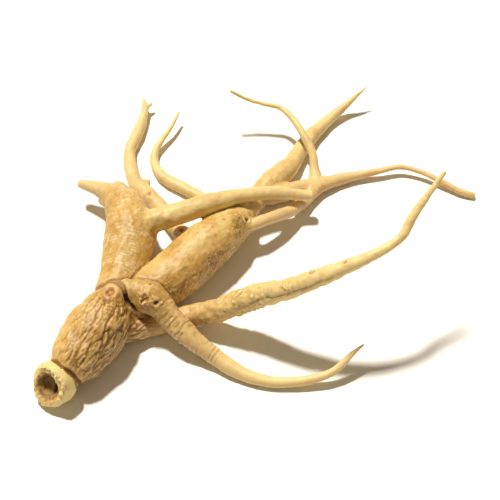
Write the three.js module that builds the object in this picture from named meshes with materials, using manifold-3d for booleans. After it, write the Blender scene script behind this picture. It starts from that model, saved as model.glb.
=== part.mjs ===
// A cream-coloured ginseng root, lying as picked: a cut neck, a wrinkled head, a thick leg, a thick trunk and the
// long side roots that grow from them. It grew as one piece, so it is one closed solid.
// Units are millimetres, +Z is up, and the root lies on the plane Z = 0.
import * as THREE from "three";
import { mergeVertices } from "three/addons/utils/BufferGeometryUtils.js";
import Module from "manifold-3d";

const wasm = await Module();
wasm.setup();

// The middle of the whole root's outline on the ground, in the frame that the stations below are given in.
const CENTRE = [2, 1.5];
// A bigger root gets more sides, a thin one fewer, and one ring is set about every STEP times its radius.
const SIDES_THICK = 16;
const SIDES_THIN = 9;
const THIN_RADIUS = 4.5;
const STEP = 1.3;
// Rings that round off an end, and how far each kind of end stands out, as a share of the radius there.
const CAP_RINGS = 3;
const CUT_END = 0.12;
const BLUNT_END = 0.8;
// The depth and size of the hollow left in the neck where the stem broke off.
const HOLLOW_DEPTH = 4.5;
const HOLLOW_SHARE = 0.62;
// The neck's cut faces this way: to the left, forwards, and a little up.
const NECK_FACING = new THREE.Vector3(-0.6, -0.68, 0.42).normalize();
// Corners closer than this are one corner. The slab under the ground plane is wider than the whole root.
const SAME_CORNER = 1e-4;
const SLAB_SIZE = 400;

// Each root is a list of stations [x, y, z, radius] along its middle line, from its base to its tip.
const ROOTS = {
  head: {
    start: CUT_END,
    end: BLUNT_END,
    stations: [
      [-99.3, -87, 11.3, 9.8],
      [-95.5, -82.7, 10.2, 10.5],
      [-92, -78.8, 10.9, 9.2],
      [-88.7, -74.6, 12, 11.7],
      [-83.5, -66, 13.3, 13.9],
      [-79, -59, 14.3, 14.6],
      [-76, -52, 15.2, 13.6],
      [-75, -46, 15.3, 10.4],
      [-74.5, -43.5, 14.5, 8.5],
    ],
  },
  shoulder: {
    end: BLUNT_END,
    stations: [
      [-76, -50.5, 14, 10],
      [-73, -45.5, 18, 8.6],
      [-71, -42.3, 20.3, 6.9],
    ],
  },
  leg: {
    end: BLUNT_END,
    stations: [
      [-73.5, -45, 13, 8.8],
      [-72, -38.5, 13.8, 9.4],
      [-69.5, -29, 14, 10.2],
      [-67, -15.5, 14.5, 12],
      [-65.4, -4.5, 16, 12.8],
      [-67, 5, 17, 11.3],
      [-71, 16, 16, 8.8],
      [-73.5, 22, 16, 6],
    ],
  },
  stub: {
    end: BLUNT_END,
    stations: [
      [-72, 17, 15.5, 6.5],
      [-79, 23, 15, 4.6],
      [-85, 26, 14, 3.6],
      [-92.5, 29.2, 13, 2.4],
    ],
  },
  knob: {
    end: BLUNT_END,
    stations: [
      [-74, 16.5, 14, 5],
      [-78, 18.5, 12.3, 3.6],
      [-81, 20, 11.2, 2.8],
    ],
  },
  lateral: {
    end: CUT_END,
    stations: [
      [-64, -2, 17, 9],
      [-54, -0.3, 21.5, 6.2],
      [-41, 4, 22.5, 5.6],
      [-31.5, 8, 22.5, 5.2],
      [-12, 15.5, 21, 3.8],
      [8, 20.3, 17, 3.4],
      [18, 21, 14.5, 2.9],
      [24.2, 21, 13.6, 2.8],
    ],
  },
  arch: {
    end: BLUNT_END,
    stations: [
      [-73, -41, 18, 6],
      [-65.5, -39.5, 20, 5.3],
      [-60, -41, 20, 6.8],
      [-54.5, -43.3, 19.5, 8],
      [-50, -46, 18, 6.9],
      [-46, -50, 15.5, 6.1],
      [-39.5, -56, 12.3, 5.6],
      [-33, -61, 8.8, 4.9],
      [-25, -66, 5.5, 4.3],
      [-17, -71.5, 3.7, 3.8],
      [-1.5, -78.5, 2.7, 3],
      [16, -79.5, 3.6, 2.5],
      [32, -76, 7, 2],
      [41, -69.5, 12.7, 1.4],
      [46, -66.2, 15, 0.7],
    ],
  },
  right: {
    end: BLUNT_END,
    stations: [
      [-73, -54, 12, 9.5],
      [-62, -52.4, 6.7, 6.4],
      [-54.5, -50, 5.4, 5.8],
      [-45, -47, 5.1, 5.5],
      [-36, -45.5, 6.3, 5.7],
      [-26, -46.5, 11, 5.8],
      [-7, -47.4, 25, 5.6],
      [11, -51, 39, 4.9],
      [29, -51, 51, 4.1],
      [40, -48.5, 55.5, 3.2],
      [53, -43.7, 59.5, 2.4],
      [60.5, -39, 62, 2.3],
      [65.3, -32, 67, 2.2],
      [72.5, -24, 74, 1.8],
      [79.5, -16.7, 80.4, 1.2],
    ],
  },
  trunk: {
    end: BLUNT_END,
    stations: [
      [-64.5, -42, 12, 8.5],
      [-57, -36.5, 12, 11],
      [-45, -27, 11.9, 12.3],
      [-36, -17.7, 12.7, 12.7],
      [-27.5, -9, 13.7, 12.1],
      [-19.3, -1.4, 13.8, 10.4],
      [-13, 5, 13, 8.2],
    ],
  },
  splinter: {
    end: CUT_END,
    stations: [
      [-15, 7, 12.5, 5],
      [-8.5, 11.5, 13.3, 2.8],
      [-2.5, 14.3, 13, 2.3],
    ],
  },
  back: {
    end: BLUNT_END,
    stations: [
      [-14, 5, 12, 8],
      [-7, 19, 8, 5.7],
      [-2.5, 26.5, 6, 5.8],
      [5, 36.5, 6.1, 6.4],
      [10, 42.5, 5.6, 6],
      [14.3, 48, 4.7, 5],
      [18.5, 57, 4, 4.3],
      [25.5, 68.5, 3.7, 4.1],
      [36.2, 81, 3.7, 3],
      [44.3, 87.5, 6.5, 2.1],
      [50.6, 91.3, 10.8, 1.2],
      [55.8, 94.8, 13.8, 0.6],
    ],
  },
  far: {
    end: CUT_END,
    stations: [
      [-15, -1, 13, 6],
      [-9, 1.2, 14.4, 3.6],
      [-2, 4, 15, 3.1],
      [5.4, 8.6, 13.1, 3.1],
      [13, 15, 9, 3.1],
      [19.5, 23, 5.5, 3.2],
      [24.5, 30, 4.2, 3.5],
      [29.5, 35.4, 4, 3.9],
      [37, 39, 3.1, 3.4],
      [44.7, 41.4, 3.1, 2.7],
      [60, 44.4, 4.3, 1.9],
      [71, 46.5, 4.9, 1.5],
      [81, 43.8, 4.4, 1.5],
      [93.4, 36.8, 3.3, 1.7],
      [101, 32.4, 2.3, 1.8],
      [108.4, 30.2, 1.6, 1.8],
    ],
  },
  yoke: {
    end: BLUNT_END,
    stations: [
      [3, 27, 6, 5],
      [11.5, 29.6, 5.6, 4.6],
      [21, 33.6, 4.8, 4],
      [28, 36, 4.2, 3.9],
    ],
  },
  whip: {
    end: BLUNT_END,
    stations: [
      [27, 36, 4.2, 3.9],
      [26.3, 42, 6, 2.8],
      [25.6, 50, 10, 2.4],
      [20.5, 61, 14, 2.1],
      [14, 72, 15.7, 1.8],
      [9.5, 76.6, 16.4, 1.6],
      [0.3, 78.8, 17.3, 1.3],
      [-9, 80, 20, 1.2],
      [-17.2, 81.4, 24.6, 1],
    ],
  },
  outer: {
    end: BLUNT_END,
    stations: [
      [-36, -4, 10, 5.5],
      [-43, 5.5, 6, 4.1],
      [-52.7, 21, 4, 4.3],
      [-62, 32, 4.1, 4.4],
      [-66, 37.6, 3.6, 3.9],
      [-69.2, 49, 3.2, 3.5],
      [-70, 58, 2.9, 3.2],
      [-66.8, 69.6, 3, 3.3],
      [-64.8, 77, 3.1, 2.8],
      [-63.3, 86.5, 4.8, 1.9],
      [-64.1, 92, 6.3, 1],
    ],
  },
  spur: {
    end: BLUNT_END,
    stations: [
      [-62, 31, 4.4, 3.8],
      [-60.3, 35.5, 4.2, 2.4],
      [-59.6, 38, 4, 1.7],
    ],
  },
  fork: {
    end: BLUNT_END,
    stations: [
      [-63.5, 84, 4.4, 1.7],
      [-61.4, 87.8, 5, 1.2],
      [-59.5, 89.7, 5.4, 1],
    ],
  },
  inner: {
    end: BLUNT_END,
    stations: [
      [-19, 9, 10, 5],
      [-27.3, 21.8, 5.4, 3.4],
      [-34.6, 29.8, 3, 3.2],
      [-42, 34.6, 3, 3.3],
      [-53.2, 43.2, 2.6, 2.9],
      [-56.6, 50.5, 2.3, 2.4],
      [-57, 56.5, 2.8, 2.2],
      [-53.8, 64, 4.5, 1.8],
      [-48.4, 72.8, 6.4, 1.3],
      [-44.7, 81.4, 7.8, 0.9],
    ],
  },
};

// A unit sphere bent along the stations: its rows of vertices become rings round the middle line, and its two
// poles close the ends. The outermost rows draw in to make a rounded base and the tip's own kind of end.
function rootGeometry({ stations, end, start = BLUNT_END }) {
  const points = stations.map(([x, y, z]) => new THREE.Vector3(x - CENTRE[0], y - CENTRE[1], z));
  const middle = new THREE.CatmullRomCurve3(points);
  const radii = new THREE.SplineCurve(stations.map(([, , , r], i) => new THREE.Vector2(i, r)));
  const thickest = Math.max(...stations.map(([, , , r]) => r));
  const mean = stations.reduce((sum, [, , , r]) => sum + r, 0) / stations.length;
  const sides = thickest > 2 * THIN_RADIUS ? SIDES_THICK : SIDES_THIN;
  const rings = Math.ceil(middle.getLength() / (STEP * mean));
  const rows = rings + 2 * CAP_RINGS;
  const geometry = new THREE.SphereGeometry(1, sides, rows);
  const frames = middle.computeFrenetFrames(rings);
  const position = geometry.getAttribute("position");
  const vertex = new THREE.Vector3();
  for (let i = 0; i < position.count; i++) {
    const row = Math.floor(i / (sides + 1));
    const turn = (2 * Math.PI * (i % (sides + 1))) / sides;
    const ring = THREE.MathUtils.clamp(row - CAP_RINGS, 0, rings);
    const u = ring / rings;
    const radius = radii.getPoint(middle.getUtoTmapping(u)).y;
    const past = row - CAP_RINGS - ring;
    const draw = (Math.PI / 2) * (past / CAP_RINGS);
    const reach = radius * Math.sin(draw) * (past > 0 ? end : start);
    const width = radius * Math.cos(draw);
    vertex
      .copy(middle.getPointAt(u))
      .addScaledVector(frames.tangents[ring], reach)
      .addScaledVector(frames.normals[ring], width * Math.cos(turn))
      .addScaledVector(frames.binormals[ring], -width * Math.sin(turn));
    position.setXYZ(i, vertex.x, vertex.y, vertex.z);
  }
  return geometry;
}

// A three.js geometry as a manifold solid: only positions are kept, so that shared corners become one vertex.
function toSolid(geometry) {
  const bare = geometry.clone();
  bare.deleteAttribute("normal");
  bare.deleteAttribute("uv");
  const merged = mergeVertices(bare, SAME_CORNER);
  return new wasm.Manifold(
    new wasm.Mesh({
      numProp: 3,
      vertProperties: new Float32Array(merged.getAttribute("position").array),
      triVerts: new Uint32Array(merged.index.array),
    }),
  );
}

function toGeometry(solid) {
  const mesh = solid.getMesh();
  const geometry = new THREE.BufferGeometry();
  geometry.setAttribute("position", new THREE.BufferAttribute(mesh.vertProperties, 3));
  geometry.setIndex(new THREE.BufferAttribute(mesh.triVerts, 1));
  geometry.computeVertexNormals();
  return geometry;
}

// The hollow in the neck: a flattened ball sunk into the cut face.
function neckHollow() {
  const [x, y, z, radius] = ROOTS.head.stations[0];
  const hollow = new THREE.SphereGeometry(1, SIDES_THICK, SIDES_THICK / 2);
  hollow.scale(radius * HOLLOW_SHARE, radius * HOLLOW_SHARE, HOLLOW_DEPTH);
  hollow.applyQuaternion(
    new THREE.Quaternion().setFromUnitVectors(new THREE.Vector3(0, 0, 1), NECK_FACING),
  );
  hollow.translate(x - CENTRE[0], y - CENTRE[1], z);
  hollow.translate(NECK_FACING.x * CUT_END * radius, NECK_FACING.y * CUT_END * radius, 0);
  return toSolid(hollow);
}

// Everything below the ground plane, which leaves small flats where the root rests.
function ground() {
  const slab = new THREE.BoxGeometry(SLAB_SIZE, SLAB_SIZE, SLAB_SIZE);
  slab.translate(0, 0, -SLAB_SIZE / 2);
  return toSolid(slab);
}

function wholeRoot() {
  const solids = Object.values(ROOTS).map((root) => toSolid(rootGeometry(root)));
  const joined = solids.reduce((sum, solid) => sum.add(solid));
  return joined.subtract(neckHollow()).subtract(ground());
}

const skin = new THREE.MeshStandardMaterial({ color: "#d9b877", roughness: 0.72, metalness: 0 });
const root = new THREE.Mesh(toGeometry(wholeRoot()), skin);
root.name = "ginseng_root";

const group = new THREE.Group();
group.add(root);
export default group;
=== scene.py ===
"""A whole ginseng root, lying as picked on a pale floor."""

import bmesh
import bpy
import numpy as np
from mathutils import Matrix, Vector


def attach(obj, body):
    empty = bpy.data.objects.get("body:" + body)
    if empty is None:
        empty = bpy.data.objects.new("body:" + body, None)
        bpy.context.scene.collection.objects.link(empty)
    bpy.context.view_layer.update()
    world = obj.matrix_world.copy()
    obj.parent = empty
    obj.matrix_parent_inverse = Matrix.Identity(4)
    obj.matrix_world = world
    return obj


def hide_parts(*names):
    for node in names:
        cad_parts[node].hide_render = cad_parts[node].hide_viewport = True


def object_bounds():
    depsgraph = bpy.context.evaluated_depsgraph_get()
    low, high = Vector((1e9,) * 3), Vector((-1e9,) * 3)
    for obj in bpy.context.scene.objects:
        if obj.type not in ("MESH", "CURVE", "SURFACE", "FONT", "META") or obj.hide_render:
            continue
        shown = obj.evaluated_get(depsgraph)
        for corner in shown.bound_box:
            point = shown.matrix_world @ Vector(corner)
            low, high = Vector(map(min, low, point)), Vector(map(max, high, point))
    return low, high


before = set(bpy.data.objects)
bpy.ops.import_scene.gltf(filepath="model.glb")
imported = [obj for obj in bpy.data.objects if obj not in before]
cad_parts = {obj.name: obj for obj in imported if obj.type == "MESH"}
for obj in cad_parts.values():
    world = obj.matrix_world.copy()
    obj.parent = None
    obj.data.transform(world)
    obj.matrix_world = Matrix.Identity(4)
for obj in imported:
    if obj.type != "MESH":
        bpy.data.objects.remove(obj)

CAD_BOX = [list(corner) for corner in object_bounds()]

MM = 0.001
SEED = 7

# ---------------------------------------------------------------- the root's plan, in millimetres

# The middle of the root's outline on the ground, in the frame that the stations are given in.
CENTRE = np.array([2.0, 1.5, 0.0])

# Each root is a run of stations (x, y, z, radius) along its middle line, from its base to its
# tip.
ROOTS = {
    "head": [
        (-99.3, -87, 11.3, 9.8), (-95.5, -82.7, 10.2, 10.5), (-92, -78.8, 10.9, 9.2),
        (-88.7, -74.6, 12, 11.7), (-83.5, -66, 13.3, 13.9), (-79, -59, 14.3, 14.6),
        (-76, -52, 15.2, 13.6), (-75, -46, 15.3, 10.4), (-74.5, -43.5, 14.5, 8.5),
    ],
    "shoulder": [
        (-76, -50.5, 14, 10), (-73, -45.5, 18, 8.6), (-71, -42.3, 20.3, 6.9),
    ],
    "leg": [
        (-73.5, -45, 13, 8.8), (-72, -38.5, 13.8, 9.4), (-69.5, -29, 14, 10.2),
        (-67, -15.5, 14.5, 12), (-65.4, -4.5, 16, 12.8), (-67, 5, 17, 11.3),
        (-71, 16, 16, 8.8), (-73.5, 22, 16, 6),
    ],
    "stub": [
        (-72, 17, 15.5, 6.5), (-79, 23, 15, 4.6), (-85, 26, 14, 3.6), (-92.5, 29.2, 13, 2.4),
    ],
    "knob": [(-74, 16.5, 14, 5), (-78, 18.5, 12.3, 3.6), (-81, 20, 11.2, 2.8)],
    "lateral": [
        (-64, -2, 17, 9), (-54, -0.3, 21.5, 6.2), (-41, 4, 22.5, 5.6), (-31.5, 8, 22.5, 5.2),
        (-12, 15.5, 21, 3.8), (8, 20.3, 17, 3.4), (18, 21, 14.5, 2.9), (24.2, 21, 13.6, 2.8),
    ],
    "arch": [
        (-73, -41, 18, 6), (-65.5, -39.5, 20, 5.3), (-60, -41, 20, 6.8), (-54.5, -43.3, 19.5, 8),
        (-50, -46, 18, 6.9), (-46, -50, 15.5, 6.1), (-39.5, -56, 12.3, 5.6),
        (-33, -61, 8.8, 4.9), (-25, -66, 5.5, 4.3), (-17, -71.5, 3.7, 3.8),
        (-1.5, -78.5, 2.7, 3), (16, -79.5, 3.6, 2.5), (32, -76, 7, 2), (41, -69.5, 12.7, 1.4),
        (46, -66.2, 15, 0.7),
    ],
    "right": [
        (-73, -54, 12, 9.5), (-62, -52.4, 6.7, 6.4), (-54.5, -50, 5.4, 5.8),
        (-45, -47, 5.1, 5.5), (-36, -45.5, 6.3, 5.7), (-26, -46.5, 11, 5.8),
        (-7, -47.4, 25, 5.6), (11, -51, 39, 4.9), (29, -51, 51, 4.1), (40, -48.5, 55.5, 3.2),
        (53, -43.7, 59.5, 2.4), (60.5, -39, 62, 2.3), (65.3, -32, 67, 2.2), (72.5, -24, 74, 1.8),
        (79.5, -16.7, 80.4, 1.2),
    ],
    "trunk": [
        (-64.5, -42, 12, 8.5), (-57, -36.5, 12, 11), (-45, -27, 11.9, 12.3),
        (-36, -17.7, 12.7, 12.7), (-27.5, -9, 13.7, 12.1), (-19.3, -1.4, 13.8, 10.4),
        (-13, 5, 13, 8.2),
    ],
    "splinter": [(-15, 7, 12.5, 5), (-8.5, 11.5, 13.3, 2.8), (-2.5, 14.3, 13, 2.3)],
    "back": [
        (-14, 5, 12, 8), (-7, 19, 8, 5.7), (-2.5, 26.5, 6, 5.8), (5, 36.5, 6.1, 6.4),
        (10, 42.5, 5.6, 6), (14.3, 48, 4.7, 5), (18.5, 57, 4, 4.3), (25.5, 68.5, 3.7, 4.1),
        (36.2, 81, 3.7, 3), (44.3, 87.5, 6.5, 2.1), (50.6, 91.3, 10.8, 1.2),
        (55.8, 94.8, 13.8, 0.6),
    ],
    "far": [
        (-15, -1, 13, 6), (-9, 1.2, 14.4, 3.6), (-2, 4, 15, 3.1), (5.4, 8.6, 13.1, 3.1),
        (13, 15, 9, 3.1), (19.5, 23, 5.5, 3.2), (24.5, 30, 4.2, 3.5), (29.5, 35.4, 4, 3.9),
        (37, 39, 3.1, 3.4), (44.7, 41.4, 3.1, 2.7), (60, 44.4, 4.3, 1.9), (71, 46.5, 4.9, 1.5),
        (81, 43.8, 4.4, 1.5), (93.4, 36.8, 3.3, 1.7), (101, 32.4, 2.3, 1.8),
        (108.4, 30.2, 1.6, 1.8),
    ],
    "yoke": [(3, 27, 6, 5), (11.5, 29.6, 5.6, 4.6), (21, 33.6, 4.8, 4), (28, 36, 4.2, 3.9)],
    "whip": [
        (27, 36, 4.2, 3.9), (26.3, 42, 6, 2.8), (25.6, 50, 10, 2.4), (20.5, 61, 14, 2.1),
        (14, 72, 15.7, 1.8), (9.5, 76.6, 16.4, 1.6), (0.3, 78.8, 17.3, 1.3), (-9, 80, 20, 1.2),
        (-17.2, 81.4, 24.6, 1),
    ],
    "outer": [
        (-36, -4, 10, 5.5), (-43, 5.5, 6, 4.1), (-52.7, 21, 4, 4.3), (-62, 32, 4.1, 4.4),
        (-66, 37.6, 3.6, 3.9), (-69.2, 49, 3.2, 3.5), (-70, 58, 2.9, 3.2),
        (-66.8, 69.6, 3, 3.3), (-64.8, 77, 3.1, 2.8), (-63.3, 86.5, 4.8, 1.9),
        (-64.1, 92, 6.3, 1),
    ],
    "spur": [(-62, 31, 4.4, 3.8), (-60.3, 35.5, 4.2, 2.4), (-59.6, 38, 4, 1.7)],
    "fork": [(-63.5, 84, 4.4, 1.7), (-61.4, 87.8, 5, 1.2), (-59.5, 89.7, 5.4, 1)],
    "inner": [
        (-19, 9, 10, 5), (-27.3, 21.8, 5.4, 3.4), (-34.6, 29.8, 3, 3.2), (-42, 34.6, 3, 3.3),
        (-53.2, 43.2, 2.6, 2.9), (-56.6, 50.5, 2.3, 2.4), (-57, 56.5, 2.8, 2.2),
        (-53.8, 64, 4.5, 1.8), (-48.4, 72.8, 6.4, 1.3), (-44.7, 81.4, 7.8, 0.9),
    ],
}

# How each end closes: (reach, width) pairs as shares of the radius there, from the pole
# outwards.
ROUND_END = [(0.8, 0.0), (0.74, 0.38), (0.57, 0.71), (0.3, 0.92)]
CUT_END = [(-0.1, 0.0), (-0.06, 0.45), (0.02, 0.78), (0.06, 0.93)]
# The neck's broken end: a sunken floor, a steep inner wall, and a thick rolled rim.
NECK_END = [
    (-0.42, 0.0), (-0.42, 0.22), (-0.38, 0.4), (-0.3, 0.5), (-0.1, 0.57), (0.03, 0.63),
    (0.1, 0.74), (0.1, 0.86), (0.05, 0.96),
]
# How far the neck's face leans back, as a slope.
NECK_LEAN = 0.38
ENDS = {"lateral": CUT_END, "splinter": CUT_END, "far": CUT_END}

# How many points go round a swept root, how far apart its rings are, and how few rings it may
# have.
SIDES = 40
RING_SPACING = 1.0
FEWEST_RINGS = 6
# The grid that the skin is grown on: coarse enough to keep the piece under 200,000 triangles.
SKIN_GRID = 0.72

# How far outside a root's surface a point is still measured against it, and what farther points
# get.
REACH = 4.0
FAR_OFF = 99.0
# Brings the noise to about -1 to 1.
NOISE_GAIN = 1.6
# The thinnest and the thickest root that the lumps and the colours tell apart, as radii.
THINNEST, THICKEST = 0.6, 13.0
# How far inside the CAD model's box the skin is kept, in millimetres.
BOX_MARGIN = 0.02
# How deep a resting root's crease is, and how deep the gap between the arch and the head is.
CREASE_DEPTH = 0.9
GAP_DEPTH = 2.2


# ---------------------------------------------------------------- noise

def noise(points, seed=0):
    """Gradient noise: each corner of a unit lattice holds a random direction, its dot product
    with the way to the point is taken, and the eight corners are blended by a quintic fade."""
    rng = np.random.RandomState(SEED + seed)
    order = rng.permutation(256)
    ways = rng.normal(size=(256, 3))
    ways /= np.linalg.norm(ways, axis=1)[:, None]
    cell = np.floor(points).astype(np.int64)
    part = points - cell
    fade = part ** 3 * (part * (part * 6 - 15) + 10)
    total = np.zeros(len(points))
    for corner in np.ndindex(2, 2, 2):
        at = (cell + corner) & 255
        pick = order[(order[(order[at[:, 0]] + at[:, 1]) & 255] + at[:, 2]) & 255]
        share = np.prod(np.where(corner, fade, 1 - fade), axis=1)
        total += share * np.einsum("ij,ij->i", ways[pick], part - corner)
    return total * NOISE_GAIN


def layered(points, layers=3, seed=0):
    """Noise summed over layers, each twice as fine and half as strong as the one before."""
    return sum(noise(points * 2 ** k, seed + k) / 2 ** k for k in range(layers))


def step(low, high, value):
    """A smooth rise from 0 below low to 1 above high (or a fall, when low is above high)."""
    t = np.clip((value - low) / (high - low), 0, 1)
    return t * t * (3 - 2 * t)


def near(points, centre, size):
    """A bell curve of the distance from a centre, 1 at the middle; size is one radius or
    three."""
    away = (points - (np.array(centre) - CENTRE)) / np.array(size)
    return np.exp(-np.einsum("ij,ij->i", away, away))


# ---------------------------------------------------------------- sweeping the roots

def middle_line(stations):
    """Stations joined by a cubic through each one, its slope there set by its two neighbours,
    and sampled about every RING_SPACING millimetres. Rows are x, y, z, radius."""
    knots = np.array(stations, float)
    knots[:, :3] -= CENTRE
    gaps = np.linalg.norm(np.diff(knots[:, :3], axis=0), axis=1)
    at = np.concatenate([[0], np.cumsum(gaps)])
    slope = np.gradient(knots, at, axis=0)
    want = np.linspace(0, at[-1], max(FEWEST_RINGS, int(at[-1] / RING_SPACING)))
    k = np.clip(np.searchsorted(at, want, side="right") - 1, 0, len(gaps) - 1)
    h = gaps[k][:, None]
    t = (want - at[k])[:, None] / h
    stay = 2 * t ** 3 - 3 * t ** 2 + 1
    leave = t ** 3 - 2 * t ** 2 + t
    arrive = t ** 3 - t ** 2
    return (
        stay * knots[k] + leave * h * slope[k]
        + (1 - stay) * knots[k + 1] + arrive * h * slope[k + 1]
    )


def frame_along(line):
    """The direction along a middle line, the level direction across it, and the upward one."""
    along = np.gradient(line[:, :3], axis=0)
    along /= np.linalg.norm(along, axis=1)[:, None]
    across = np.cross(along, [0.0, 0.0, 1.0])
    across /= np.linalg.norm(across, axis=1)[:, None]
    return along, across, np.cross(across, along)


def sweep(line, first_end, last_end, lean=0.0):
    """Rings carried along a middle line and closed at both ends by the given end profiles, whose
    poles are single vertices. The first end can lean back: its top is drawn in and its bottom
    pushed out by a share of the height from its middle. Returns vertices and faces."""
    along, across, upward = frame_along(line)
    radius = line[:, 3]
    index = np.concatenate([
        np.zeros(len(first_end), int), np.arange(len(line)),
        np.full(len(last_end), len(line) - 1),
    ])
    body = np.zeros(len(line))
    reach = np.concatenate([
        [-r for r, _ in first_end], body, [r for r, _ in last_end[::-1]],
    ]) * radius[index]
    width = np.concatenate([
        [w for _, w in first_end], body + 1, [w for _, w in last_end[::-1]],
    ]) * radius[index]
    turn = np.linspace(0, 2 * np.pi, SIDES, endpoint=False)
    centres = line[index, :3] + along[index] * reach[:, None]
    rim = (
        np.cos(turn)[None, :, None] * upward[index][:, None]
        + np.sin(turn)[None, :, None] * across[index][:, None]
    )
    tilt = np.where(np.arange(len(index)) < len(first_end), lean, 0.0) * width
    shift = along[index][:, None] * (tilt[:, None] * np.cos(turn))[:, :, None]
    rings = (centres[:, None] + rim * width[:, None, None] + shift)[1:-1]
    rows = len(rings)
    verts = np.concatenate([centres[:1], rings.reshape(-1, 3), centres[-1:]])
    here = 1 + np.arange(rows - 1)[:, None] * SIDES + np.arange(SIDES)[None]
    beside = 1 + np.arange(rows - 1)[:, None] * SIDES + (np.arange(SIDES) + 1)[None] % SIDES
    quads = np.stack([here, beside, beside + SIDES, here + SIDES], -1).reshape(-1, 4)
    side = np.arange(SIDES)
    after = (side + 1) % SIDES
    first = np.stack([np.zeros(SIDES, int), after + 1, side + 1], -1)
    last_row = 1 + (rows - 1) * SIDES
    last = np.stack([np.full(SIDES, len(verts) - 1), last_row + side, last_row + after], -1)
    return verts, quads.tolist() + first.tolist() + last.tolist()


def keep_largest(mesh):
    """Drops the specks that the grid leaves beside the skin. Each vertex takes the lowest number
    among its neighbours, then the number that vertex holds, until nothing changes. Each
    connected part then shares one number, and all but the commonest are deleted."""
    _, pairs = read(mesh)
    label = np.arange(len(mesh.vertices))
    changed = True
    while changed:
        low = label.copy()
        np.minimum.at(low, pairs[:, 0], label[pairs[:, 1]])
        np.minimum.at(low, pairs[:, 1], label[pairs[:, 0]])
        low = low[low]
        changed = (low != label).any()
        label = low
    main = np.bincount(label).argmax()
    work = bmesh.new()
    work.from_mesh(mesh)
    work.verts.ensure_lookup_table()
    specks = [work.verts[spot] for spot in np.flatnonzero(label != main)]
    bmesh.ops.delete(work, geom=specks, context="VERTS")
    work.to_mesh(mesh)
    work.free()


def rough_root():
    """All the swept roots in one overlapping mesh, then grown into one skin on a fine grid."""
    verts, faces, start = [], [], 0
    for name, stations in ROOTS.items():
        first = NECK_END if name == "head" else ROUND_END
        lean = NECK_LEAN if name == "head" else 0.0
        new, new_faces = sweep(middle_line(stations), first, ENDS.get(name, ROUND_END), lean)
        verts.append(new)
        faces += [[start + i for i in face] for face in new_faces]
        start += len(new)
    mesh = bpy.data.meshes.new("ginseng_skin")
    mesh.from_pydata(np.concatenate(verts) * MM, [], faces)
    skin = bpy.data.objects.new("ginseng_skin", mesh)
    bpy.context.scene.collection.objects.link(skin)
    grow = skin.modifiers.new("grow", "REMESH")
    grow.mode = "VOXEL"
    grow.voxel_size = SKIN_GRID * MM
    grow.adaptivity = 0.0
    graph = bpy.context.evaluated_depsgraph_get()
    grown = bpy.data.meshes.new_from_object(skin.evaluated_get(graph))
    skin.modifiers.clear()
    skin.data = grown
    keep_largest(grown)
    return skin


def read(mesh):
    """Vertices in millimetres, and the pairs of vertices that its edges join."""
    verts = np.empty(len(mesh.vertices) * 3)
    mesh.vertices.foreach_get("co", verts)
    pairs = np.empty(len(mesh.edges) * 2, np.int64)
    mesh.edges.foreach_get("vertices", pairs)
    return verts.reshape(-1, 3) / MM, pairs.reshape(-1, 2)


def relaxed(values, pairs, rounds, share):
    """Moves each row of values towards the mean of its neighbours' by a share, some rounds
    over."""
    count = np.bincount(pairs.ravel(), minlength=len(values))[:, None]
    share = np.broadcast_to(np.asarray(share, float).reshape(-1, 1), (len(values), 1))
    values = values.reshape(len(values), -1)
    for _ in range(rounds):
        total = np.stack([
            np.bincount(pairs[:, 0], values[pairs[:, 1], k], len(values))
            + np.bincount(pairs[:, 1], values[pairs[:, 0], k], len(values))
            for k in range(values.shape[1])
        ], 1)
        values = values + share * (total / count - values)
    return values


def normals(mesh, verts):
    """Moves the mesh's vertices to the given places, and returns their outward normals."""
    mesh.vertices.foreach_set("co", (verts * MM).ravel())
    mesh.update()
    out = np.empty(len(mesh.vertices) * 3)
    mesh.vertex_normals.foreach_get("vector", out)
    return out.reshape(-1, 3)


def on_root(name, points):
    """Where each point lies on one root: how far along in millimetres, the turn from its top
    round to the side, the radius there, and how far outside its surface. Far points get a large
    distance."""
    line = middle_line(ROOTS[name])
    along, across, upward = frame_along(line)
    run = np.concatenate([[0], np.cumsum(np.linalg.norm(np.diff(line[:, :3], axis=0), axis=1))])
    margin = line[:, 3].max() + REACH
    low, high = line[:, :3].min(0) - margin, line[:, :3].max(0) + margin
    close = np.where((points > low).all(1) & (points < high).all(1))[0]
    out = np.zeros((len(points), 4))
    out[:, 3] = FAR_OFF
    gap = points[close][:, None] - line[None, :, :3]
    best = np.argmin(np.einsum("ijk,ijk->ij", gap, gap) - line[None, :, 3] ** 2, axis=1)
    away = points[close] - line[best, :3]
    ahead = np.einsum("ij,ij->i", away, along[best])
    turn = np.arctan2(
        np.einsum("ij,ij->i", away, across[best]), np.einsum("ij,ij->i", away, upward[best])
    )
    from_line = np.linalg.norm(away - along[best] * ahead[:, None], axis=1)
    out[close] = np.stack([
        run[best] + ahead, turn, line[best, 3], np.linalg.norm(away, axis=1) - line[best, 3],
    ], 1)
    return out


# ---------------------------------------------------------------- the skin's relief

def wrinkle(points, spacing, stretch, line, turn, radius, seed):
    """Furrows that run along a root: noise stretched along it, with a furrow wherever it passes
    zero. 1 in the middle of a furrow, falling evenly to 0 on the round ridges between."""
    drift = 0.35 * layered(points / 11.0, 2, seed + 40)
    flat = np.stack([
        np.cos(turn) * radius / spacing + drift, np.sin(turn) * radius / spacing - drift,
        line / (spacing * stretch),
    ], 1)
    return np.clip(1 - np.abs(layered(flat, 2, seed)) / 0.42, 0, 1) ** 1.6


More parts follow.
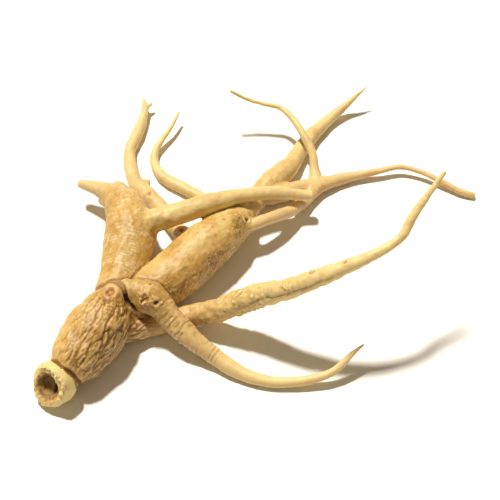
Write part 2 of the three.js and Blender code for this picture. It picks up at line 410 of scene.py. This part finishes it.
def rings(points, spacing, line, seed, bend=0.8):
    """Fine cracks round a root: steps along it, bent by noise, with their depth broken up by
    more noise. 1 in a crack."""
    bent = line / spacing + bend * noise(points / 8.0, seed) + 0.2 * noise(points / 2.2, seed + 1)
    crack = np.exp(-((bent - np.round(bent)) / 0.17) ** 2)
    return crack * step(-0.3, 0.35, noise(points / 4.2, seed + 2) + noise(points / 8.0, seed + 3))


def shaped():
    """The finished skin: relaxed from the grid, filleted where a root grows out of another,
    creased where one only rests on another, then pushed in and out along its normals by the
    relief of each root. Keeps what the colours need as vertex attributes."""
    skin = rough_root()
    mesh = skin.data
    verts, pairs = read(mesh)
    verts = relaxed(verts, pairs, 3, 0.6)

    where = {name: on_root(name, verts) for name in ROOTS}

    def outside(*names):
        return np.min([where[name][:, 3] for name in names], axis=0)

    joint = np.zeros(len(verts))
    for one, other in GROWS_FROM:
        joint = np.maximum(joint, step(1.8, 0.2, outside(one)) * step(1.8, 0.2, outside(other)))
    verts = relaxed(verts, pairs, 12, 0.55 * joint)
    verts = relaxed(verts, pairs, 2, 0.4)
    normal = normals(mesh, verts)
    where = {name: on_root(name, verts) for name in ROOTS}
    rest = np.zeros(len(verts))
    for over, under in RESTS_ON:
        rest = np.maximum(rest, step(1.3, 0.1, outside(*over)) * step(1.3, 0.1, outside(*under)))

    # How much of each root's own pattern shows here, the sum of them never over 1.
    share = {name: step(1.2, 0.1, where[name][:, 3]) for name in ROOTS}
    for name in HIDDEN_BY:
        share[name] = share[name] * step(-0.6, 0.6, outside(*HIDDEN_BY[name]))
    total = np.maximum(sum(share.values()), 1.0)
    share = {name: s / total for name, s in share.items()}
    thickness = np.clip(sum(share[n] * where[n][:, 2] for n in ROOTS), THINNEST, THICKEST)
    marks = {name: np.zeros(len(verts)) for name in MARKS}
    # Painted shade along the lines where one root lies on another, and deeper painted shade in the
    # gap between the arch and the head.
    marks["crease_shade"] += 0.75 * rest
    gap = rest * near(verts, (-64.8, -45.5, 18), (4.5, 5.5, 8))
    marks["hollow_shade"] += 1.6 * gap

    # Everywhere: gentle lumps about a fingertip apart, and a fine unevenness.
    push = -CREASE_DEPTH * rest - GAP_DEPTH * gap
    push += layered(verts / 7.5, 2, 1) * 0.06 * thickness ** 0.8
    push += layered(verts / 2.4, 2, 5) * 0.04 * thickness ** 0.5

    for relief in (
        head_relief, neck_relief, leg_relief, arch_relief, trunk_relief, right_relief, thin_relief,
    ):
        push += relief(verts, where, share, marks)
    push += scars(verts, marks)

    verts = verts + normal * push[:, None]
    low, high = (np.array(corner) / MM for corner in CAD_BOX)
    verts = np.clip(verts, low + BOX_MARGIN, high - BOX_MARGIN)
    # Painted shade in dents and painted highlight on ridges, from how far each point lies under or
    # over its smoothed place.
    smooth = relaxed(verts, pairs, 4, 0.5)
    normal = normals(mesh, verts)
    marks["dent_shade_ridge_light"] = np.einsum("ij,ij->i", smooth - verts, normal) * step(1.2, 3.5, thickness)
    marks["thickness"] = thickness
    for name, values in marks.items():
        mesh.attributes.new(name, "FLOAT", "POINT").data.foreach_set("value", values)
    mesh.shade_smooth()
    return skin


# Pairs of roots that run smoothly into each other, and pairs where the first only lies on the
# second.
GROWS_FROM = [
    ("head", "right"), ("head", "trunk"), ("leg", "stub"), ("leg", "knob"), ("leg", "lateral"),
    ("trunk", "back"), ("trunk", "far"), ("trunk", "splinter"), ("trunk", "outer"),
    ("trunk", "inner"), ("far", "yoke"), ("back", "yoke"), ("far", "whip"), ("yoke", "whip"),
    ("outer", "spur"), ("outer", "fork"), ("head", "shoulder"),
]
RESTS_ON = [
    (("arch",), ("leg", "trunk", "right", "head", "shoulder")), (("shoulder", "head"), ("leg",)),
    (("leg",), ("trunk",)), (("whip",), ("back",)),
    (("lateral",), ("far", "trunk", "outer", "inner")),
]
HIDDEN_BY = {
    "trunk": ("arch", "shoulder", "leg"), "leg": ("arch", "shoulder"), "right": ("arch",),
    "head": ("arch",),
}
# What the colours need to know about each point of the skin.
# Two of these marks are painted shade: the one for creases and the one for hollows.
MARKS = ("crease_shade", "pale", "bark", "hollow_shade", "ringed", "orange")


def head_relief(verts, where, share, marks):
    """The head: long furrows flowing along it, deepest on its lower right side and shallow on
    its top left, and lines that curve round under the shoulder."""
    s, turn, r = where["head"][:, :3].T
    body = share["head"] * step(11, 15, s) * step(57, 47, s)
    lower = step(-1.1, 0.9, turn)
    furrow = wrinkle(verts, 4.0, 3.2, s + 5 * np.sin(turn), turn, r, 11)
    fine = wrinkle(verts, 1.9, 4.0, s + 5 * np.sin(turn), turn, r, 12)
    strong = 0.55 + 0.6 * noise(verts / 9.0, 18)
    depth = strong * furrow * (0.2 + 0.95 * lower) + fine * (0.12 + 0.28 * lower)
    # Painted shade: the furrows are darkened, most on the lower right side, and that whole side is
    # darkened a little more.
    dark = furrow * (0.12 + 0.75 * lower) + 0.35 * fine * (0.2 + lower) + 0.2 * lower
    marks["crease_shade"] += body * dark
    under = near(verts, (-72, -50.5, 20), (10, 8, 12)) * step(-0.2, 0.4, share["shoulder"] + body)
    away = np.linalg.norm(verts - (np.array((-71, -43, 24)) - CENTRE), axis=1)
    arc = rings(verts, 2.3, away, 17, 0.5) * step(5.5, 8.0, away) * under
    # Painted shade in the lines under the shoulder.
    marks["crease_shade"] += 0.6 * arc
    grains = body * (1 - lower) * step(0.3, 0.7, noise(verts / 1.1, 20))
    marks["pale"] += 0.6 * grains
    return -body * depth - 0.35 * arc + body * layered(verts / 6.0, 2, 13) * 0.4 + 0.15 * grains


def neck_relief(verts, where, share, marks):
    """The neck: a smooth pale collar, a deep crease where it meets the head, a ragged rim and a
    hollow with a slot in its floor; the crease, the hollow and the slot are darkened with painted
    shade."""
    s, turn, r = where["head"][:, :3].T
    collar = share["head"] * step(10.0, 8.0, s)
    seam = share["head"] * np.exp(-((s - 10.6 - 0.7 * noise(verts / 5.0, 14)) / 0.9) ** 2)
    across, up = radial_on_face(verts)
    inside = step(-0.8, -1.8, where["head"][:, 3]) * step(8, 6, s)
    face = np.maximum(share["head"] * step(1.8, 0.4, s - NECK_LEAN * up * r), inside)
    off = np.hypot(across, up)
    hollow = face * step(0.7, 0.58, off)
    slot = hollow * np.exp(-((across - 0.12 + 0.3 * up) / 0.1) ** 2) * step(0.55, 0.35, off)
    rim = face * step(0.5, 0.7, off)
    # Painted shade in the crease at the head, and in the hollow and its slot.
    marks["crease_shade"] += seam * 1.4
    marks["pale"] += collar * (1 - hollow)
    fibres = step(-0.4, 0.5, noise(verts * np.array((1.1, 1.1, 0.4)), 19))
    marks["hollow_shade"] += hollow * (0.6 + 0.3 * fibres) + 0.5 * slot
    marks["orange"] += face * np.exp(-((off - 0.68) / 0.07) ** 2)
    ragged = layered(verts / 1.6, 2, 16)
    return -1.7 * seam + collar * noise(verts / 4.5, 15) * 0.4 + rim * ragged * 0.7 - slot * 0.9


def leg_relief(verts, where, share, marks):
    """The leg: fine pale lines round it, bowed towards the head, and faint furrows along it."""
    s, turn, r = where["leg"][:, :3].T
    body = share["leg"] * step(9, 16, s)
    crack = rings(verts, 1.75, s - 3.2 * np.cos(turn), 21, 0.5)
    marks["ringed"] += 1.6 * body * crack
    # Painted shade in a second set of cracks round the leg.
    marks["crease_shade"] += 0.3 * body * rings(verts, 2.1, s - 3.2 * np.cos(turn), 24, 0.5)
    return -body * (0.2 * crack + 0.16 * wrinkle(verts, 3.5, 3.0, s, turn, r, 22))


def arch_relief(verts, where, share, marks):
    """The arch: a lumpy knee, cracks round its steep part, strongest just past the knee, and a
    smooth pale tip."""
    s, turn, r = where["arch"][:, :3].T
    steep = share["arch"] * step(22, 30, s) * step(72, 58, s)
    crack = rings(verts, 2.3, s + 0.8 * np.cos(turn), 31, 0.45)
    fine = rings(verts, 1.1, s, 33, 0.4)
    # Painted shade in the cracks, and a little over the whole steep part.
    marks["crease_shade"] += steep * (0.5 * crack + 0.35 * fine + 0.15)
    marks["pale"] += share["arch"] * step(56, 78, s) * 0.35
    marks["bark"] += share["arch"] * step(30, 22, s) * 0.25
    lumps = share["arch"] * step(75, 20, s) * layered(verts / 4.5, 2, 32) * 0.5
    return lumps - steep * (0.3 * crack + 0.16 * fine)


def trunk_relief(verts, where, share, marks):
    """The trunk: smooth on its upper left, with rough flaking bark on its lower right and on its
    end."""
    s, turn, r = where["trunk"][:, :3].T
    side = turn + 0.7 * layered(verts / 9.0, 2, 41) + 0.5 * step(50, 68, s)
    rough = share["trunk"] * step(0.3, 1.0, side)
    scales = layered(verts / 1.8, 3, 42)
    marks["bark"] += 0.8 * rough * step(-0.1, 0.55, noise(verts / 5.5, 43) + 0.7 * scales)
    patch = near(verts, (-46, -36, 10), (9, 9, 12)) + near(verts, (-25, -16, 12), (13, 8, 12))
    patch += 0.8 * near(verts, (-14, 1, 17), (6, 6, 8))
    marks["bark"] += 0.9 * share["trunk"] * patch * step(-0.3, 0.5, noise(verts / 2.6, 47))
    marks["orange"] += share["trunk"] * step(0.52, 0.7, noise(verts / 1.9, 45))
    marks["ringed"] += 0.4 * share["trunk"] * (1 - rough) * rings(verts, 2.6, s, 46)
    marks["pale"] += share["trunk"] * (1 - rough) * step(-0.3, 0.5, noise(verts / 10.0, 48)) * 0.45
    specks = rough * step(0.25, 0.6, noise(verts / 0.95, 49))
    marks["pale"] += 0.9 * specks
    furrow = share["trunk"] * wrinkle(verts, 5.5, 3, s, turn, r, 44)
    return rough * scales * 0.34 + 0.3 * specks - furrow * 0.2


def right_relief(verts, where, share, marks):
    """The long raised root: low lumps, a shallow groove along its near side, fine cracks round
    it, folds at its base, and a patch of loose flakes."""
    s, turn, r = where["right"][:, :3].T
    groove = share["right"] * np.exp(-((turn - 1.2 - 0.3 * noise(verts / 8.0, 52)) / 0.16) ** 2)
    groove = groove * step(60, 75, s) * step(130, 112, s)
    # Painted shade in the groove.
    marks["crease_shade"] += 0.5 * groove
    crack = rings(verts, 2.9, s, 53)
    marks["ringed"] += 0.4 * share["right"] * crack
    marks["pale"] += share["right"] * step(50, 95, s) * 0.6
    base = share["right"] * step(27, 8, s) * wrinkle(verts, 3.0, 3.5, s, turn, r, 57)
    # Painted shade in the folds at the base, and over the base where it runs under the arch's knee.
    marks["crease_shade"] += 0.8 * base + 0.45 * share["right"] * step(30, 12, s)
    marks["bark"] += 0.4 * share["right"] * step(85, 40, s) * step(0.1, 0.6, noise(verts / 4.0, 58))
    marks["orange"] += 0.35 * share["right"] * step(0.15, 0.6, noise(verts / 3.4, 59))
    flakes = share["right"] * np.exp(-((s - 74) / 16) ** 2)
    flakes = flakes * step(0.15, 0.5, noise(verts / 1.3, 55))
    marks["pale"] += 0.5 * flakes
    lumps = share["right"] * (layered(verts / 4.6, 2, 51) * 0.085 * r - 0.1 * crack)
    return lumps - 0.4 * groove + 0.7 * flakes - 0.7 * base


def thin_relief(verts, where, share, marks):
    """The thinner roots: low lumps, and a crack round them now and then."""
    push = np.zeros(len(verts))
    for number, name in enumerate(("lateral", "back", "far", "outer", "inner", "whip")):
        s, turn, r = where[name][:, :3].T
        crack = rings(verts, 4.0, s, 60 + 4 * number)
        # Painted shade in the cracks.
        marks["crease_shade"] += share[name] * crack * 0.12
        push += share[name] * (layered(verts / 5.0, 2, 90 + number) * 0.055 - 0.03 * crack) * r
        drift = noise(verts / 8.0, 80 + number)
        marks["orange"] += share[name] * (step(0.1, 0.6, drift) * 0.25 + 0.22 * (name == "far"))
        marks["pale"] += share[name] * (0.3 * (name != "far") + 0.6 * step(-0.1, -0.6, drift))
    return push


def scars(verts, marks):
    """The scars where small roots broke off: round ones with a raised rim and a sunken middle,
    and ragged ones with flakes standing up in them."""
    push = np.zeros(len(verts))
    for centre, size, depth, ragged, colour in SCARS:
        away = np.linalg.norm(verts - (np.array(centre) - CENTRE), axis=1) / size
        away = away + 0.12 * noise(verts / 1.8, 70)
        middle = np.exp(-(away / 0.62) ** 4)
        rim = np.exp(-((away - 1) / 0.28) ** 2) * (1 - 0.45 * ragged)
        flakes = np.exp(-(away / 1.2) ** 2) * np.maximum(layered(verts / 1.1, 2, 71), 0)
        push += -depth * middle + 0.35 * depth * rim + ragged * flakes
        # Scars marked with the dark hollow colour get painted shade in their sunken middle; every
        # scar gets a ring of painted shade round that middle.
        marks[colour] += 0.8 * middle
        marks["crease_shade"] += 0.35 * np.exp(-((away - 0.72) / 0.12) ** 2)
        marks["orange"] += 0.6 * rim + 0.3 * ragged * flakes
        marks["pale"] += 1.2 * ragged * flakes
    return push


# Each scar: its centre, its radius, how deep it is (or how high, when it is under 0), how high
# its flakes stand, and its colour mark.
SCARS = [
    ((-72.0, -44.7, 26.8), 3.4, 1.0, 0.0, "orange"), ((-73.5, -44.4, 26.7), 1.1, 0.8, 0.0, "hollow_shade"),
    ((-56.0, -47.8, 25.7), 2.9, 0.8, 1.7, "orange"), ((-57.0, -49.0, 24.7), 1.3, 1.2, 0.4, "hollow_shade"),
    ((-50.6, -49.5, 24.1), 1.7, 1.5, 0.7, "hollow_shade"), ((-48.2, -49.0, 23.6), 1.1, -0.7, 0.0, "pale"),
    ((-53.7, -40.8, 27.0), 1.2, 0.5, 0.0, "orange"), ((-47.8, -53.5, 13.5), 1.2, -0.9, 0.0, "pale"),
    ((-39.5, -63.0, 10.5), 1.4, -0.8, 0.5, "pale"), ((-82.0, 21.0, 12.6), 2.2, 0.9, 0.2, "hollow_shade"),
    ((-8.5, 2.4, 19.0), 1.7, 1.6, 1.3, "hollow_shade"), ((-32.0, -10.3, 25.4), 0.9, 0.25, 0.0, "orange"),
    ((-24.9, -6.7, 25.3), 0.9, 0.25, 0.0, "orange"), ((-41.1, 1.4, 12.5), 2.6, 1.3, 0.3, "hollow_shade"),
    ((20.8, -49.9, 50.5), 1.3, -1.3, 0.5, "orange"), ((35.3, -49.1, 57.3), 1.6, 0.6, 0.4, "orange"),
    ((9.7, -53.1, 43.1), 3.0, 0.2, 1.3, "pale"), ((-58.0, 26.5, 7.0), 2.2, 0.9, 0.5, "orange"),
]


def radial_on_face(points):
    """Where a point lies on the neck's cut face: shares of the neck's radius, across and up."""
    first = np.array(ROOTS["head"][0][:3]) - CENTRE
    line = middle_line(ROOTS["head"])
    _, across, upward = frame_along(line)
    away = (points - first) / line[0, 3]
    return away @ across[0], away @ upward[0]


# ---------------------------------------------------------------- materials

def linear(hex_colour):
    """An sRGB colour written as a hex value, turned to linear red, green, blue and alpha."""
    parts = np.array([int(hex_colour[i:i + 2], 16) for i in (1, 3, 5)]) / 255
    out = np.where(parts <= 0.04045, parts / 12.92, ((parts + 0.055) / 1.055) ** 2.4)
    return (*out, 1.0)


def add(tree, kind, links=None, values=None, **settings):
    """Adds one node, with its settings, its sockets' own values and its sockets' links."""
    made = tree.nodes.new(kind)
    for key, setting in settings.items():
        setattr(made, key, setting)
    for socket, given in (values or {}).items():
        made.inputs[socket].default_value = given
    for socket, source in (links or {}).items():
        tree.links.new(source, made.inputs[socket])
    return made


# Sockets of a Mix node: its factor, the colours under and over, and the mixed colour.
FACTOR, UNDER, OVER, MIXED = 0, 6, 7, 2


def root_skin():
    """Fresh ginseng skin, washed but not peeled: a thin cream cork over starchy flesh. It is
    matt and a little see-through at the tips; its folds, cracks and hollows are darkened with
    painted shade."""
    material = bpy.data.materials.new("ginseng_root_skin")
    material.use_nodes = True
    tree = material.node_tree
    tree.nodes.clear()
    place = add(tree, "ShaderNodeTexCoord").outputs["Object"]

    def value(name):
        return add(tree, "ShaderNodeAttribute", attribute_name=name).outputs["Fac"]

    def mix(fac, under, over):
        links, values = {FACTOR: fac}, {OVER: over}
        (links if isinstance(under, bpy.types.NodeSocket) else values)[UNDER] = under
        return add(tree, "ShaderNodeMix", links, values, data_type="RGBA").outputs[MIXED]

    def ramp(source, low, high, to_low=0.0, to_high=1.0):
        span = {"From Min": low, "From Max": high, "To Min": to_low, "To Max": to_high}
        return add(tree, "ShaderNodeMapRange", {"Value": source}, span).outputs["Result"]

    def cloud(size_mm, detail=3.0, rough=0.55):
        look = {"Scale": 1 / (size_mm * MM), "Detail": detail, "Roughness": rough}
        return add(tree, "ShaderNodeTexNoise", {"Vector": place}, look).outputs["Fac"]

    # Broad drifts of cream and honey, with smaller orange-brown stains, then the marks of the
    #     relief, which include painted shade and painted highlight.
    base = mix(ramp(cloud(16), 0.38, 0.66), linear("#d8b164"), linear("#be9143"))
    base = mix(ramp(cloud(5.5), 0.52, 0.78, 0, 0.45), base, linear("#a26c2a"))
    base = mix(ramp(cloud(1.6, 4.0), 0.5, 0.8, 0, 0.3), base, linear("#e6cc92"))
    base = mix(ramp(cloud(0.7, 3.0), 0.42, 0.7, 0, 0.28), base, linear("#8e6024"))
    base = mix(ramp(value("thickness"), 1.5, 8.0, 0.7, 0.0), base, linear("#efdaa6"))
    base = mix(ramp(value("pale"), 0, 1, 0, 0.85), base, linear("#e9d590"))
    base = mix(ramp(value("bark"), 0.0, 1.0, 0, 0.7), base, linear("#7a5120"))
    base = mix(ramp(value("orange"), 0.0, 1.0, 0, 0.7), base, linear("#bf7a2a"))
    base = mix(ramp(value("ringed"), 0.2, 1.0, 0, 0.6), base, linear("#f3e3bd"))
    # Painted shade: creases, cracks, the lines where roots lie on each other, the head's lower
    # right side and the right root's base under the arch are darkened.
    base = mix(ramp(value("crease_shade"), 0.1, 1.1, 0, 0.8), base, linear("#6e431a"))
    # Painted shade in dents, then painted highlight on ridges.
    base = mix(ramp(value("dent_shade_ridge_light"), 0.02, 0.16, 0, 0.5), base, linear("#8a5826"))
    base = mix(ramp(value("dent_shade_ridge_light"), -0.02, -0.12, 0, 0.35), base, linear("#efd9a2"))
    # Painted shade in the neck's hollow and its slot, in the gap under the arch and in the scars'
    # sunken middles; the same mark also makes them rougher.
    base = mix(ramp(value("hollow_shade"), 0.2, 1.0, 0, 0.92), base, linear("#4f391c"))

    grain = add(
        tree, "ShaderNodeBump", {"Height": cloud(0.9, 4.0, 0.6)},
        {"Strength": 0.6, "Distance": 0.16 * MM},
    )
    shader = add(
        tree, "ShaderNodeBsdfPrincipled",
        {
            "Base Color": base, "Normal": grain.outputs[0],
            "Roughness": ramp(value("hollow_shade"), 0, 1, 0.47, 0.9),
        },
        {
            "IOR": 1.4, "Specular IOR Level": 0.6, "Subsurface Weight": 0.3,
            "Subsurface Radius": (1.0, 0.5, 0.12), "Subsurface Scale": 1.6 * MM,
        },
    )
    add(tree, "ShaderNodeOutputMaterial", {"Surface": shader.outputs[0]})
    return material


def floor_paint():
    """Matt white paper: no gloss, no pattern, so that only the root's shadow shows on it."""
    material = bpy.data.materials.new("white_paper")
    material.use_nodes = True
    shader = material.node_tree.nodes["Principled BSDF"]
    shader.inputs["Base Color"].default_value = linear("#f9f8f6")
    shader.inputs["Roughness"].default_value = 0.9
    shader.inputs["Specular IOR Level"].default_value = 0.1
    return material


# ---------------------------------------------------------------- the room

# The camera looks steeply down from the front with a long lens.
CAMERA_TILT = np.radians(55.0)
CAMERA_AWAY = 0.670
CAMERA_LENS = 96.5
SENSOR_WIDTH = 36.0
LOOKS_AT = np.array([-0.009, -0.004, 0.0])
# The way that the sun's light travels: forwards and to the right, from high behind on the left.
SUNLIGHT = Vector((0.236, -0.40, -1.0))
SUN_ENERGY = 4.1
SUN_ANGLE = np.radians(5.5)
ROOM_STRENGTH = 0.24
# Half the floor's width, in metres.
FLOOR_HALF = 3.0


def camera():
    """A long lens that looks at LOOKS_AT from CAMERA_AWAY metres, CAMERA_TILT above the
    floor."""
    data = bpy.data.cameras.new("camera")
    data.lens = CAMERA_LENS
    data.sensor_width = SENSOR_WIDTH
    made = bpy.data.objects.new("camera", data)
    back = np.array([0.0, -np.cos(CAMERA_TILT), np.sin(CAMERA_TILT)])
    made.location = LOOKS_AT + back * CAMERA_AWAY
    made.rotation_euler = Vector(-back).to_track_quat("-Z", "Y").to_euler()
    bpy.context.scene.collection.objects.link(made)
    bpy.context.scene.camera = made


def lights():
    """One warm sun, large enough to soften the edges of its shadows, in a room of warm light."""
    data = bpy.data.lights.new("sun", "SUN")
    data.energy = SUN_ENERGY
    data.angle = SUN_ANGLE
    data.color = linear("#fffaf0")[:3]
    sun = bpy.data.objects.new("sun", data)
    sun.rotation_euler = SUNLIGHT.to_track_quat("-Z", "Y").to_euler()
    bpy.context.scene.collection.objects.link(sun)
    world = bpy.data.worlds.new("room")
    bpy.context.scene.world = world
    world.use_nodes = True
    sky = world.node_tree.nodes["Background"]
    sky.inputs["Color"].default_value = linear("#ffe9c8")
    sky.inputs["Strength"].default_value = ROOM_STRENGTH
    bpy.context.scene.view_settings.view_transform = "Standard"


def floor():
    """One flat square of paper at the height that the root lies on."""
    half = FLOOR_HALF
    mesh = bpy.data.meshes.new("floor")
    mesh.from_pydata(
        [(-half, -half, 0), (half, -half, 0), (half, half, 0), (-half, half, 0)], [], [(0, 1, 2, 3)]
    )
    made = bpy.data.objects.new("floor", mesh)
    bpy.context.scene.collection.objects.link(made)
    made.data.materials.append(floor_paint())


camera()
lights()
floor()
root = shaped()
root.data.materials.append(root_skin())
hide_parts("ginseng_root")
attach(root, "root")
